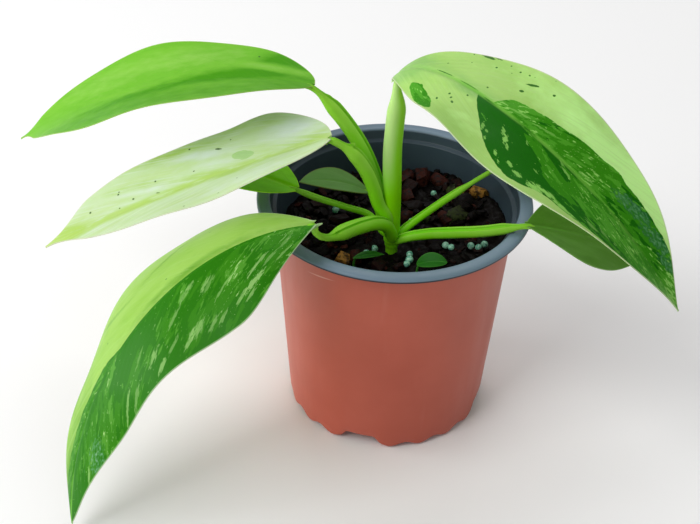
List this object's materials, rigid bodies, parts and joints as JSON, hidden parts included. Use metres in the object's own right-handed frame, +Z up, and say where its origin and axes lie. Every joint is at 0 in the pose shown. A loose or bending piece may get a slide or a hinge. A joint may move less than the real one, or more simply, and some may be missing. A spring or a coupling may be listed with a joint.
{
  "type": "potted philodendron",
  "caption": "Young variegated climbing foliage plant with pointed, drooping leaves on sheathed stalks, rooted in bark mix in a round two-tone plastic nursery pot.",
  "frame": {"origin": "centre of the pot's underside, on the plane of its feet, where the pot stands", "axes": "+Z up along the pot's axis; +X to the right of the side seen first, towards the plant's low right-hand leaf; -Y towards the viewer, the side that the two big variegated leaves lean over"},
  "size_m": [0.2644, 0.1569, 0.1759],
  "materials": {
    "pot_plastic": "satin thermoformed sheet, terracotta outside and blue-grey inside and on the rim",
    "growing_mix": "moist dark bark and peat with reddish chips and pale fertiliser beads",
    "leaf_stalk": "smooth waxy light green",
    "lime_leaf": "semi-gloss lime green with a darker midrib groove",
    "cream_leaf": "semi-gloss pale cream green with faint lengthwise streaks",
    "variegated_leaf": "semi-gloss, lime and pale zones beside dark green flecked zones",
    "green_leaf": "semi-gloss plain mid green"
  },
  "bodies": {
    "root": {"pot": "pot_plastic", "potting_mix": "growing_mix", "crown": "leaf_stalk", "petiole_a": "leaf_stalk", "petiole_b": "leaf_stalk", "petiole_c": "leaf_stalk", "petiole_d": "leaf_stalk", "petiole_e": "leaf_stalk", "petiole_f": "leaf_stalk", "petiole_g": "leaf_stalk", "petiole_h": "leaf_stalk", "blade_a": "lime_leaf", "blade_b": "cream_leaf", "blade_c": "variegated_leaf", "blade_d": "variegated_leaf", "blade_e": "green_leaf", "blade_f": "green_leaf", "blade_g": "green_leaf", "blade_h": "green_leaf", "seedling_1": "green_leaf", "seedling_2": "green_leaf"}
  },
  "joints": []
}
